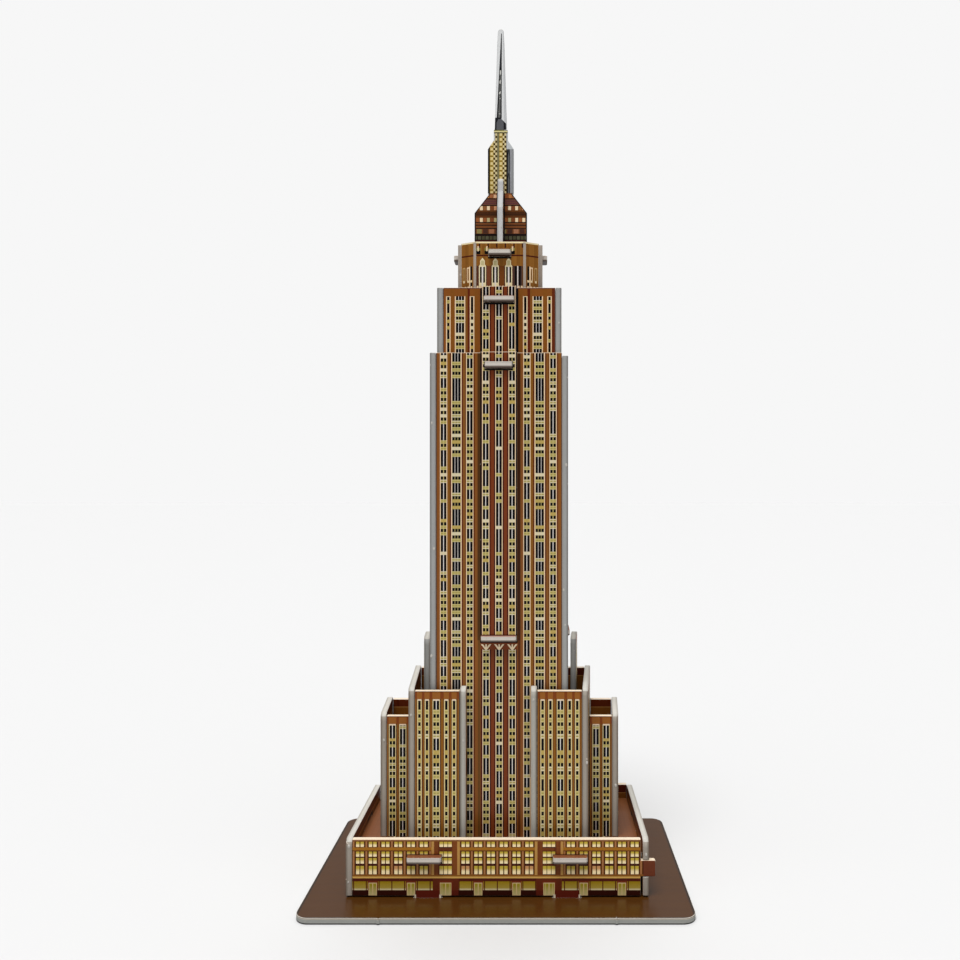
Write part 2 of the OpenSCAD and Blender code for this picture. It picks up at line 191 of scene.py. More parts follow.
class Paint:
    """One material, painted layer over layer. x, y and z are places on the part in mm."""

    def __init__(self, name, ground, roughness, coat, gloss):
        self.material = bpy.data.materials.new(name)
        self.material.use_nodes = True
        self.nodes = self.material.node_tree.nodes
        self.links = self.material.node_tree.links
        self.shader = self.nodes["Principled BSDF"]
        self.shader.inputs["Roughness"].default_value = roughness
        self.shader.inputs["Coat Weight"].default_value = coat
        self.shader.inputs["Coat Roughness"].default_value = 0.12
        self.shader.inputs["Specular IOR Level"].default_value = gloss
        where = self.nodes.new("ShaderNodeTexCoord").outputs["Object"]
        scaled = self.nodes.new("ShaderNodeVectorMath")
        scaled.operation = "SCALE"
        scaled.inputs["Scale"].default_value = 1 / MM
        self.links.new(where, scaled.inputs[0])
        split = self.nodes.new("ShaderNodeSeparateXYZ")
        self.links.new(scaled.outputs[0], split.inputs[0])
        self.x, self.y, self.z = (Num(self, out) for out in split.outputs)
        self.colour = linear(ground)

    def plug(self, socket, value):
        """Sets a socket to a Num, to another socket, or to a plain value."""
        if isinstance(value, Num):
            self.links.new(value.socket, socket)
        elif isinstance(value, bpy.types.NodeSocket):
            self.links.new(value, socket)
        else:
            socket.default_value = value

    def math(self, kind, *values):
        """The result of one Math node."""
        node = self.nodes.new("ShaderNodeMath")
        node.operation = kind
        for socket, value in zip(node.inputs, values):
            self.plug(socket, value)
        return Num(self, node.outputs[0])

    def attribute(self, name):
        """A number stored on the mesh."""
        node = self.nodes.new("ShaderNodeAttribute")
        node.attribute_name = name
        return Num(self, node.outputs["Fac"])

    def vector(self, x, y, z):
        """Three numbers as one vector socket."""
        node = self.nodes.new("ShaderNodeCombineXYZ")
        for socket, value in zip(node.inputs, (x, y, z)):
            self.plug(socket, value)
        return node.outputs[0]

    def random(self, a, b=0.0, c=0.0):
        """A random number from 0 to 1 that is the same wherever a, b and c are."""
        node = self.nodes.new("ShaderNodeTexWhiteNoise")
        node.noise_dimensions = "3D"
        self.links.new(self.vector(a, b, c), node.inputs["Vector"])
        return Num(self, node.outputs["Value"])

    def noise(self, sx, sy, sz, detail=2.0):
        """Smooth noise from 0 to 1 with sx, sy and sz waves per mm along each axis."""
        node = self.nodes.new("ShaderNodeTexNoise")
        node.inputs["Scale"].default_value = 1
        node.inputs["Detail"].default_value = detail
        self.links.new(self.vector(self.x * sx, self.y * sy, self.z * sz),
                       node.inputs["Vector"])
        return Num(self, node.outputs["Fac"])

    def blend(self, mask, under, over):
        """The colour under where the mask is 0, and over where it is 1."""
        node = self.nodes.new("ShaderNodeMix")
        node.data_type = "RGBA"
        self.plug(node.inputs["Factor"], mask)
        self.plug(node.inputs[6], under)
        self.plug(node.inputs[7], over)
        return node.outputs[2]

    def over(self, mask, colour):
        """Paints a colour, or another blend, over what is there so far."""
        colour = linear(colour) if isinstance(colour, str) else colour
        self.colour = self.blend(mask, self.colour, colour)

    def bump(self, height, strength, distance):
        """Makes the surface uneven; distance is in metres."""
        node = self.nodes.new("ShaderNodeBump")
        node.inputs["Strength"].default_value = strength
        node.inputs["Distance"].default_value = distance
        self.links.new(height.socket, node.inputs["Height"])
        self.links.new(node.outputs[0], self.shader.inputs["Normal"])

    def done(self):
        """Joins the layers to the shader and gives the material."""
        self.plug(self.shader.inputs["Base Color"], self.colour)
        return self.material


# ---------------------------------------------------------------- bare foam

def foam_material(name, ground, light, dark, lip, shade=(0.15, 0.95, 0.85), wrap=None):
    """Cut foam: pale and matt with fine cells. Painted shade darkens it towards its outer side,
    where it curves away, and faintly towards its inner side; the film's own cut edge shows as a
    thin light line on the inner one. "across" runs from -1 on the board's inner face to 1 on
    its outer one; shade says from where to where along it the painted shade falls, and how
    strong it is, and dark is the colour of that painted shade. With a wrap colour, the film
    bends over the inner rim, and the light line lies below it."""
    p = Paint(name, ground, roughness=0.85, coat=0.0, gloss=0.2)
    across = p.attribute("across")
    start, end, most = shade
    lip_range = (0.45, 0.6) if wrap else (0.84, 0.9)
    p.over(p.noise(0.2, 0.2, 0.12) * 0.5, light)
    # painted shade towards the inner face
    p.over((0 - across).ramp(0.35, 0.9) * 0.3 * most, dark)
    # painted shade towards the outer face, where the edge curves away
    p.over(across.ramp(start, end) * most, dark)
    cells = p.noise(3.5, 3.5, 3.5, detail=3)
    p.over((cells > 0.63) * 0.25, dark)
    p.over((p.noise(0.55, 0.55, 0.4) > 0.74) * 0.7, lip)
    p.over((0 - across).ramp(*lip_range) * 0.8, lip)
    if wrap:
        p.over((0 - across).ramp(0.72, 0.86), wrap)
    p.bump(cells + p.noise(0.5, 0.5, 4.0) * 0.6, 0.35, 0.00012)
    return p.done()


# ---------------------------------------------------------------- printed film

NIGHT = "#060304"
CREAM = "#e4c7a2"
PALE_BAR = "#d2c5a4"
OLIVE = "#c2b276"
GOLD = "#b49c56"
MULLION = "#dad4cf"
MAROON = "#471206"
BRICK = "#773818"
BROWN = "#7f4617"
HONEY = "#7b4f17"

# Half the frame's width and the panes' centres for columns of one, two and three panes, mm
COLUMN_KINDS = {
    1: (0.92, (0.0,)),
    2: (1.48, (-0.66, 0.66)),
    3: (2.12, (-1.19, 0.0, 1.19)),
}
PANE = 0.5                      # half the width of a pane, mm
FRAME = 0.28                    # width of a frame's own border, mm


def film(name, ground, roughness=0.38, coat=0.06, gloss=0.08):
    """Printed film that is very slightly wavy, as it lies on the foam."""
    p = Paint(name, ground, roughness=roughness, coat=coat, gloss=gloss)
    p.bump(p.noise(0.07, 0.07, 0.07), 0.25, 0.0006)
    return p


def stripes(p, u, spans):
    """Paints stripes across u: each span is (low, high, colour)."""
    for low, high, colour in spans:
        p.over(u.between(low, high), colour)


def tab_shadow(p, u, z, half):
    """A black band painted in a wall under a floor's tab: the gap that the slot leaves there,
    in painted shadow; z is the tab's underside.
    """
    p.over((abs(u) < half) & p.z.between(z - 0.95, z + 0.2), NIGHT)


def any_of(masks):
    """1 wherever one of the masks is 1."""
    found = None
    for mask in masks:
        found = mask if found is None else found | mask
    return found


def streaks(p, colour, amount=0.4):
    """Faint upright streaks in the print."""
    p.over(p.noise(0.9, 0.9, 0.004) * amount, colour)


def window_columns(p, u, v, columns, pitch=2.65, bar=1.3, long_share=0.42, joined=None,
                   frame_colour=CREAM):
    """Paints columns of windows. u runs across the board and v up it, in mm, and each column
    is (centre, panes, seed). A column is cut into storeys of one pitch; the bar between two
    of them is there or left out at random, so windows are one to four storeys high. With
    joined, only the bars counted in it are left out."""
    frames = any_of(u.near(c, COLUMN_KINDS[k][0]) for c, k, s in columns)
    inside = any_of(u.near(c, COLUMN_KINDS[k][0] - FRAME) for c, k, s in columns)
    middle = any_of(u.near(c, max(COLUMN_KINDS[k][1]) + PANE / 2) for c, k, s in columns)
    panes = any_of(u.near(c + o, PANE) for c, k, s in columns for o in COLUMN_KINDS[k][1])
    seeds = sum(u.near(c, COLUMN_KINDS[k][0]) * s for c, k, s in columns)
    storey = v / pitch
    line, cell = storey.round(), storey.floor()
    if joined:
        bars = (abs(storey - line) < bar / pitch / 2).without(
            any_of(line.near(n, 0.4) for n in joined))
        short = 1 - any_of(storey.near(n, 0.9) for n in joined)
    else:
        def has_bar(n):
            return (p.random(n, seeds) > long_share) | ((n + seeds).repeated(4) < 0.5)

        bars = (abs(storey - line) < bar / pitch / 2) & has_bar(line)
        short = has_bar(cell) & has_bar(cell + 1)
    tint = p.random(line, seeds, 7.0)
    bar_colour = p.blend(tint > 0.5, linear(OLIVE), linear(PALE_BAR))
    bar_colour = p.blend(tint > 0.86, bar_colour, linear(GOLD))
    p.over(frames, frame_colour)
    p.over(middle.without(bars), p.blend(short, linear(MULLION), linear(OLIVE)))
    p.over(inside & bars, bar_colour)
    p.over(panes & bars & (abs(storey - line) < 0.32 / pitch) & (tint < 0.75), "#a0934e")
    p.over(panes.without(bars), NIGHT)


# ---- Towers: columns as (centre, panes, seed) and fields as (low, high, colour), mm

HALF_FRONT = ((-22.4, 2, 1.0), (-17.2, 3, 2.0), (-11.8, 2, 3.0))
FRONT_REPEAT = 33.7             # how far the right half is from the left half, which it repeats
FRONT_FIELDS = (
    (-26.0, -25.0, "#3c0c06"), (-25.0, -23.9, "#7d4a20"), (-20.9, -19.9, HONEY),
    (-19.9, -19.3, MAROON), (-15.1, -14.5, "#4c1208"), (-14.5, -13.8, "#7d4f22"),
    (-13.8, -13.3, "#5e340e"), (-10.3, -9.7, "#4e1608"), (-9.7, -8.5, "#7f4c1e"),
    (-8.5, -7.0, "#5a3c18"),
)
BAY_COLUMNS = ((-5.2, 2, 4.0), (0.1, 2, 5.0), (5.4, 2, 4.0))
BAY_HALF = 7.4                  # half the width of a bay board
BAY_FOOT = foot_of("tower_floor_low") - 3.6     # where the columns under the bay end


def bay_fields(p, columns, border, long_share=0.42):
    """Brick fields with three columns of windows, between two black borders."""
    p.over(abs(p.x) < BAY_HALF + 0.2, BRICK)
    streaks(p, "#5c2410", 0.5)
    beside = any_of(abs(p.x - c).between(1.4, 1.95) for c, k, s in columns)
    p.over(beside, "#360a05")
    window_columns(p, p.x, p.z, columns, long_share=long_share)
    p.over(abs(p.x) > BAY_HALF - border, NIGHT)


def tower_front_print():
    """The tower's tall front: two equal halves of windows beside the bay's own brick
    columns, which go on below the bay board."""
    p = film("tower_front_print", BROWN)
    left = p.x - (p.x > 0) * FRONT_REPEAT
    stripes(p, left, FRONT_FIELDS)
    streaks(p, "#925a24")
    window_columns(p, left, p.z, HALF_FRONT)
    # painted shadow on the wall beside the bay board, which stands out in front above z = 100
    p.over((p.z > 100) & abs(p.x).between(BAY_HALF, BAY_HALF + 1.3) * 0.5, "#201408")
    sides = p.colour
    p.colour = linear(BRICK)
    bay_fields(p, BAY_COLUMNS, 0.0)
    columns = p.colour
    p.colour = p.blend(p.z > BAY_FOOT, columns, linear(BRICK))
    palmettes(p, BAY_FOOT)
    p.colour = p.blend(abs(p.x) < BAY_HALF, sides, p.colour)
    # painted shadow under the low floor's tab
    tab_shadow(p, p.x, foot_of("tower_floor_low"), 7.6)
    return p.done()


def palmettes(p, foot):
    """A small fan of three leaves on top of each middle column."""
    v = p.z - foot
    for centre, kind, seed in BAY_COLUMNS:
        u = abs(p.x - centre)
        leaf = u.near(0, 0.3) | (u - v * 0.75).near(0.1, 0.42)
        p.over(leaf & v.between(-0.2, 2.1), "#f0dcb8")


def bay_print(name, columns, border, long_share=0.42):
    """The print of a bay board, with the painted shadows in the gaps under two floors' tabs."""
    p = film(name, BRICK)
    bay_fields(p, columns, border, long_share)
    tab_shadow(p, p.x, foot_of("tower_floor_high"), 5.8)
    tab_shadow(p, p.x, foot_of("upper_floor"), 6.4)
    return p.done()


TOWER_SIDE_COLUMNS = ((0.0, 2, 14.0), (4.9, 2, 15.0), (10.0, 3, 16.0), (15.0, 2, 17.0))
TOWER_SIDE_FIELDS = ((1.4, 2.1, MAROON), (6.3, 7.0, "#4c1208"), (7.0, 7.9, HONEY),
                     (12.2, 12.9, MAROON), (16.5, 17.4, BROWN), (17.4, 19.0, "#3c0c06"))
UPPER_COLUMNS = ((-20.8, 1, 61.0), (-16.0, 3, 62.0), (-11.1, 1, 63.0), (10.6, 1, 63.0),
                 (15.7, 3, 62.0), (20.5, 1, 61.0))
# The black field from -7.8 to 7.8 lies behind the upper bay board; where it shows beside the
# board it is painted shadow.
UPPER_FIELDS = ((-24.0, -22.6, "#5e260c"), (-19.9, -18.2, "#7d4a18"), (-13.9, -12.9, "#7a4a1b"),
                (-12.9, -12.0, "#5c220c"), (-10.2, -8.8, "#7d4a18"), (-7.8, 7.8, NIGHT),
                (8.0, 9.6, "#7d4a18"), (11.5, 12.6, "#5c220c"), (12.6, 13.4, "#7a4a1b"),
                (17.9, 19.5, "#7d4a18"), (21.5, 24.0, "#5e260c"))
UPPER_BAY_COLUMNS = ((-5.3, 2, 64.0), (0.0, 2, 65.0), (5.2, 2, 66.0))
UPPER_TOP = top_of("upper_front")
UPPER_BAND = 3.6                # height of the plain band above the upper windows


def side_print(name, top=None):
    """Print for a wall that faces sideways, the same either side of its middle. Above top
    it has no windows."""
    p = film(name, BROWN)
    stripes(p, abs(p.y), TOWER_SIDE_FIELDS)
    streaks(p, "#925a24")
    plain = p.colour
    window_columns(p, abs(p.y), p.z, TOWER_SIDE_COLUMNS)
    if top:
        p.colour = p.blend(p.z < top, plain, p.colour)
    return p.done()


def upper_front_print():
    """The upper tower's front and back, with a plain band along the top."""
    p = film("upper_front_print", "#7c4618")
    streaks(p, "#8c5420", 0.5)
    stripes(p, p.x, UPPER_FIELDS)
    plain = p.colour
    window_columns(p, p.x, p.z - UPPER_TOP + 3.2, UPPER_COLUMNS, long_share=0.4)
    p.colour = p.blend(p.z < UPPER_TOP - UPPER_BAND, plain, p.colour)
    p.over(p.z > UPPER_TOP - 0.5, "#4c1a0c")
    return p.done()


# ---- Wings, annexes and side bays

WING_MIDDLE = 24.85             # from the centre to the middle of a wing's front
WING_ROWS = 21.0                # one seed for all the columns, whose windows stand in rows
WING_COLUMNS = tuple((at, panes, WING_ROWS)
                     for at, panes in ((-7.2, 1), (-4.1, 1), (-0.1, 2), (3.6, 1), (6.6, 1)))
# Bars that are left out of the wings' columns, counted downwards from the top of the print
WING_JOINED = (-1, -6, -11, -13, -18, -23)
WING_TOP = top_of("wing_front_left")
WING_BAND = 3.5                 # height of the plain band above the wings' windows
ANNEX_MIDDLE = 41.4             # and of an annex's
ANNEX_COLUMNS = ((-1.9, 2, 32.0), (2.3, 2, 31.0))
ANNEX_TOP = top_of("annex_front_left")
WING_SIDE_COLUMNS = tuple((at, panes, WING_ROWS) for at, panes in (
    (2.2, 1), (6.4, 2), (10.8, 1), (15.0, 2), (19.4, 1)))


def wing_print(name, across, columns, top, pitch=3.24, bar=1.75, joined=WING_JOINED):
    """Golden brown with narrow columns of windows, rounded off below a plain top band.
    across gives the distance over the wall, from its paint."""
    p = film(name, "#7c4a14")
    u = across(p)
    streaks(p, "#8c5c1c", 0.8)
    edges = [(c - COLUMN_KINDS[k][0], c + COLUMN_KINDS[k][0]) for c, k, s in columns]
    p.over(any_of(u.near(low - 0.2, 0.2) for low, high in edges), "#4a1c08")
    p.over(any_of(u.near(high + 0.15, 0.15) for low, high in edges), "#5c3008")
    plain = p.colour
    window_columns(p, u, p.z - (top - WING_BAND + pitch / 2), columns, pitch=pitch, bar=bar,
                   joined=joined, frame_colour="#d0bd88")
    p.colour = p.blend(p.z < top - WING_BAND, plain, p.colour)
    cap = any_of(u.between(low + 0.15, high - 0.15) for low, high in edges)
    p.over(cap & p.z.between(top - 3.9, top - 3.3), "#dcc8ae")
    band = p.z > top - 3.2
    p.over(band, "#783a13")
    p.over(band & any_of(u.between(low - 0.1, high + 0.1) for low, high in edges), "#8e5721")
    p.over(p.z > top - 0.5, "#451a0c")
    return p.done()


def beside(p, middle):
    """Distance outwards across a pair of mirrored walls, left and right of the tower."""
    return abs(p.x) - middle


def wing_prints():
    """The prints of the wings' and annexes' walls, of their sides and of the side bays."""
    def over_depth(p):
        return abs(p.y)

    return {
        "wing": wing_print("wing_front_print", lambda p: beside(p, WING_MIDDLE),
                           WING_COLUMNS, WING_TOP),
        "annex": wing_print("annex_front_print", lambda p: beside(p, ANNEX_MIDDLE),
                            ANNEX_COLUMNS, ANNEX_TOP, pitch=2.5, bar=1.1, joined=None),
        "wing_side": wing_print("wing_side_print", over_depth, WING_SIDE_COLUMNS,
                                WING_TOP + 1),
        "annex_side": wing_print("annex_side_print", over_depth, WING_SIDE_COLUMNS,
                                 ANNEX_TOP + 1),
        "bay_side": wing_print("side_bay_print", over_depth, WING_SIDE_COLUMNS, 99.6),
    }


def inner_print(name, split, slot=None):
    """The plainer print on faces that look inwards: maroon above, honey brown below. A side
    wall can have a black patch painted where an unused slot lies in shade: (low y, high y,
    low z, high z)."""
    p = film(name, "#7e4c1a")
    streaks(p, "#633610", 0.6)
    p.over(p.z.repeated(9.5, split) < 0.3, "#54280e")
    p.over(p.z > split, "#4e1a0a")
    p.over((p.z > split) & (p.noise(0.3, 0.3, 0.02) > 0.5) * 0.5, "#662a10")
    p.over(p.z.near(split, 0.2), "#a0703c")
    if slot:
        # painted shade: the black inside of an unused slot
        p.over(p.y.between(*slot[:2]) & p.z.between(*slot[2:]), NIGHT)
    return p.done()


# ---- Podium

SECTION = 4.96                  # distance from one window's middle to the next
PANEL = (15.1, 25.1)            # brick panels between the sections
OUTER_SHIFT = 26.12             # from the windows of the middle section to the outer ones
# Rows of windows as (sill, head), mm
PODIUM_ROWS = ((22.1, 24.1), (18.3, 20.3), (15.6, 17.8), (11.5, 14.7))
LIT_TOP, LIT_FOOT = "#bca23a", "#f2dcac"
FOOT_EDGES = ((21.6, 22.6), (31.6, 32.5))       # pale edges of the foot under the wall


def podium_print(name, axis):
    """Shop fronts below and four rows of lit windows above, in sections parted by plain
    brick panels. The wall is the same either side of its middle."""
    p = film(name, "#a26e46")
    u = abs(getattr(p, axis))
    panel = u.between(*PANEL)
    along = u - (u > PANEL[1]) * OUTER_SHIFT
    index = ((along - SECTION / 2) / SECTION).round()
    aside = (abs(along - SECTION / 2 - index * SECTION).without(panel)
             + abs(u - sum(PANEL) / 2) * panel)
    podium_windows(p, u, panel, index, aside)
    shop_fronts(p, u, panel, index, aside)
    p.over(u > 56.8, "#65301a")
    if axis == "x":
        # painted shadow under the deck's tabs
        tab_shadow(p, u - 28.3, foot_of("podium_deck"), 7.0)
    return p.done()


def podium_windows(p, u, panel, index, aside):
    """The rows of lit windows. aside is the distance from the nearest window's middle, and
    index that window's number."""
    window = aside < 1.56 + panel * 0.9
    panes = (aside.near(0.87, 0.66).without(panel)
             | (aside < 0.72) & panel | aside.near(1.68, 0.7) & panel)

    p.over(aside < 2.22, "#75470c")
    p.over(aside < 1.95, "#3e1206")
    p.over(panel, "#6e3812")
    p.over(panel & (aside < 2.9), "#5c2a0c")
    p.over(panel & (p.noise(0.25, 0.25, 0.02) > 0.5) * 0.4, "#84481c")
    for low, high in PODIUM_ROWS:
        here = p.z.between(low, high)
        rise = (p.z - low) / (high - low)
        warm = p.random(index, low) > 0.985
        head = p.blend(warm, linear(LIT_TOP), linear("#c08a58"))
        p.over(window & p.z.between(low - 0.35, high + 0.3), "#3c0e04")
        p.over(window & here, "#4c3808")
        p.over(panes & here, p.blend(rise.ramp(0.3, 0.7), linear(LIT_FOOT), head))
    p.over(p.z.between(20.7, 21.9).without(panel), "#9a6418")
    p.over(p.z.between(20.4, 20.75).without(panel), "#5c3410")
    p.over(p.z.between(11.0, 11.45).without(panel), "#7c4c1c")
    pilaster = any_of(u.near(edge, 0.5) for edge in PANEL)
    p.over(pilaster & p.z.between(11, 24.2), "#b08344")
    p.over(p.z > 24.2, "#7a4c24")


def shop_fronts(p, u, panel, index, aside):
    """Shop windows and doors under a pale ledge, and the feet that the wall stands on."""
    low = p.z < 9.9
    p.over(p.z.between(10.5, 11.2), "#82501a")
    p.over(p.z.between(9.85, 10.6), "#c89c50")
    p.over(low, "#4c180c")
    p.over(low & panel, "#5c2510")
    p.over(p.z < 5.2, "#2c0b04")
    p.over((p.z < 5.2) & panel, "#541a0e")
    shop = (aside < 2.28).without(panel) & p.z.between(5.3, 8.7)
    p.over(shop, p.blend(p.z.ramp(5.6, 8.4), linear("#a38e40"), linear("#8f7410")))
    p.over(shop & (p.z < 5.9), "#c4b68c")
    door = (index.near(1, 0.3) | index.near(4, 0.3)) | panel
    half = 1.62 + panel * 0.6
    opening = door & (aside < half + 0.4)
    p.over(opening & p.z.between(5.2, 8.9), "#6a2a12")
    p.over(door & (aside < half) & p.z.between(2.9, 8.2), "#c9ad7c")
    leaf = aside.between(0.16, 1.35) | aside.between(1.5, 2.0) & panel
    p.over(door & leaf & p.z.between(3.5, 7.9),
           p.blend(p.z.ramp(4.0, 7.0), linear("#b0a26c"), linear("#928226")))
    cream_side = any_of(u.between(*edge) for edge in FOOT_EDGES)
    p.over(cream_side & (p.z < 3.6), "#cdbfa8")
    foot = u.between(FOOT_EDGES[0][1], FOOT_EDGES[1][0])
    p.over(foot & (p.z < 5.2), "#571a0e")
    # painted shadow: a black line along the gap under the wall, between the feet
    p.over(p.z.between(2.4, 2.9).without(door | cream_side | foot), NIGHT)


# ---- Crown

CROWN_LINE = 257.5              # height of the dark line between windows and band
CROWN_RAIL = 245.0              # top of the short pale posts along the foot
CROWN_TOP = top_of("crown_front")


def crown_side_print():
    """The crown's end walls: the same band above three pointed double windows."""
    p = film("crown_side_print", "#794817")
    streaks(p, "#9a6c2e", 0.8)
    p.over((p.y.repeated(3.55, 0.6) < 0.7) * 0.5, "#6e4414")
    p.over(p.z.near(CROWN_LINE, 0.3), "#441408")
    p.over((p.z > 260.7) & ((p.y + 1.2).repeated(3.55) < 0.3), "#38120a")
    for centre in (-4.9, 0, 4.9):
        arch(p, abs(p.y - centre))
    p.over((p.z < CROWN_RAIL) & (p.y.repeated(1.3) < 0.35), CREAM)
    return p.done()


def crown_print():
    """Golden brown with pointed double windows in the middle and narrow ones on the folded
    panels, under a band with short upright lines."""
    p = film("crown_print", "#794817")
    streaks(p, "#9a6c2e", 0.8)
    side = abs(p.x)
    middle = side < 10.3
    low = p.z < 253.2
    p.over((p.x.repeated(3.55, 0.6) < 0.7) * 0.5, "#6e4414")
    p.over(middle & low, "#5e3814")
    p.over(middle & low & p.x.near(-4.5, 0.75), "#6e3c24")
    p.over(middle & low & p.x.near(0.9, 0.8), "#6e3d15")
    p.over(middle & low & (p.x < -8.9), "#52301f")
    p.over(p.z.near(CROWN_LINE, 0.3), "#441408")
    p.over(middle & (p.z > 260.7) & ((p.x + 1.2).repeated(3.55) < 0.3), "#38120a")
    for centre in (-8.9, -5.3, 5.3):
        here = p.x.near(centre, 0.95)
        p.over(here & p.z.between(258.0, 259.5), NIGHT)
        p.over(here & p.z.between(259.5, 260.6), "#7c7c3c")
        p.over(p.x.near(centre, 0.3) & p.z.between(259.3, 261.3), CREAM)
    p.over(p.x.near(7.4, 1.9) & low, "#4a342c")
    for centre in (6.6, 8.3):
        p.over(p.x.near(centre, 0.42) & low, NIGHT)
    p.over(p.x.near(7.45, 0.2) & low, MULLION)
    for centre in (-7.1, -1.8, 3.7):
        arch(p, abs(p.x - centre))
    folded_windows(p, side, low)
    p.over((p.z < CROWN_RAIL) & (p.x.repeated(1.3) < 0.35), CREAM)
    # painted highlight: a pale line along the crown's top edge
    p.over(p.z > CROWN_TOP - 0.75, "#e6d6a6")
    # painted shadow under the crown floor's tab
    tab_shadow(p, p.x, foot_of("crown_floor"), 4.8)
    return p.done()


def folded_windows(p, side, low):
    """Three narrow windows on each folded panel: a dark one and two drawn in outline."""
    dark, outlined, faint = 11.8, 13.1, 14.9
    p.over(side.near(dark, 0.4) & low, NIGHT)
    p.over(side.near(dark + 0.65, 0.22) & low, CREAM)
    tall = p.z.between(247.2, 252.9)
    for at, colour in ((outlined, CREAM), (faint, "#b0905e")):
        p.over(side.near(at, 0.55) & tall, colour)
        p.over(side.near(at, 0.27) & tall & (p.z < 252.4), "#7a501f")
    for at in (dark, outlined, faint):
        p.over(side.near(at, 0.4) & p.z.near(247.0, 0.45), "#dcc69c")


def arch(p, u):
    """One pointed double window; u is the distance from its middle."""
    z = p.z
    p.over((u < 1.85) & (z < 253.4), "#4a1408")
    frame = ((u < 1.48) & (z < 253.2) | (u < 0.98) & z.between(253.0, 255.3)
             | (u + z * 0.75 < 0.98 + 255.3 * 0.75) & z.between(255.2, 256.6)
             | (u + z < 1.48 + 253.2) & z.between(253.1, 254.2))
    p.over(frame, "#ddcfa6")
    p.over((u < 0.62) & z.between(253.4, 255.4), "#b8ac80")
    p.over((u < 0.3) & (z < 252.9), MULLION)
    p.over(u.near(0.68, 0.36) & z.between(246.3, 252.8), NIGHT)
    p.over(u.near(0.7, 0.3) & z.between(244.2, 245.0), NIGHT)


# ---- Mast

STRAIGHT_TOP = 278.3            # where the dome's sides start to lean in
NECK_TOP = 286.7
COLLAR_TOP = 313.4


def squares(p, u, low, high, pitch, bright, dull, seed):
    """A row of squares, every other one bright where chance lets it be, the rest dull."""
    cells = u / pitch
    index = cells.floor()
    here = (abs(cells - index - 0.5) < 0.4) & p.z.between(low, high)
    pick = p.random(index, seed)
    odd = (index / 2 - (index / 2).floor()) > 0.25
    for i, colour in enumerate(dull):
        p.over(here & (pick > i / len(dull)), colour)
    for i, colour in enumerate(bright):
        p.over((here & (pick > i / len(bright) - 0.01)).without(odd), colour)


def mast_print(name, axis, foot, neck):
    """Banded dome below, basket-weave shaft, drawn spire. foot and neck are half the
    board's width below and above the dome's leaning sides."""
    p = film(name, "#764420", gloss=0.12)
    u = getattr(p, axis)
    z = p.z
    streaks(p, "#7c4a28", 0.5)
    for low, high, colour in ((259, 266.6, "#54200f"), (266.6, 269.2, "#1c0e0a"),
                              (276.3, 279.4, "#5c3210"), (281.3, 284.5, "#6a4232")):
        p.over(z.between(low, high), colour)
    squares(p, u, 267.0, 268.5, 1.65, ("#5a5a44",), ("#4e4c34",), 71.0)
    squares(p, u, 269.6, 271.4, 2.6, ("#a87050", "#90804c"), ("#6a5e38", "#4c2c20"), 72.0)
    squares(p, u, 274.5, 276.2, 1.5, ("#b8a878", "#f0d8b0", "#f0d8b0"),
            ("#7e4422", "#96562c"), 73.0)
    squares(p, u, 279.5, 281.2, 1.5, ("#f0d8b0", "#c8906a", "#f0d8b0"),
            ("#7e4422", "#8c5a30"), 74.0)
    squares(p, u, 284.7, 286.1, 1.6, ("#e0b48c", "#b87844"), ("#8a4a24", "#a0623a"), 75.0)
    for line in (269.3, 271.7, 273.1, 274.3, 277.5, 278.3, 281.5, 284.3):
        p.over(z.near(line, 0.2), "#160806")
    for line in (282.4, 283.3):
        p.over(z.near(line, 0.2), "#5c3038")
    edge = foot - z.ramp(STRAIGHT_TOP, NECK_TOP - 0.5) * (foot - neck)
    # black border along the edges; the black in the middle is painted shadow where the other
    # board crosses
    p.over((abs(u) > edge - 0.5) | (abs(u) < 1.75), NIGHT)
    if axis == "x":
        dome = p.colour
        shaft(p, u, z)
        spire(p, u, z)
        p.colour = p.blend(z > NECK_TOP, dome, p.colour)
    return p.done()


def shaft(p, u, z):
    """Two columns of yellow weave either side of a grey line, and grey strips on the right."""
    p.over(1, "#88898a")
    stripes(p, u, ((-5.6, -4.6, NIGHT), (-4.7, 2.5, "#5c4b16"), (-1.75, -0.6, "#6a6444"),
                   (-1.4, -0.95, "#7c7656"), (2.4, 2.95, NIGHT), (2.95, 4.1, "#585a5c"),
                   (4.1, 4.4, "#a9a9ae")))
    dz = z.repeated(2.05)
    for block, weave in ((-3.8, -2.35), (0.1, 1.55)):
        p.over(u.near(block, 0.76) & (dz < 0.88), "#ae9040")
        p.over(u.near(block - 0.05, 0.5) & (dz < 0.56), "#d6c48c")
        cells = ((u - weave) / 0.76).floor() + ((z + 0.5) / 1.025).floor()
        even = (cells / 2 - (cells / 2).floor()) < 0.25
        here = u.near(weave, 0.76)
        p.over(here, "#463410")
        p.over(here & even, "#d2c292")
    for low, high in ((286.0, 295.4), (296.0, 305.4)):
        half = (high - z).ramp(0, 3) * 0.5
        p.over((abs(abs(u - 3.4) - half) < 0.15) & z.between(low, high), "#1a1a1e")
    p.over((z > 305.4) & (u > 2.45), "#b9bcbd")
    p.over((z > 309.0) & (abs(u) > 2.5), "#b9bcbd")


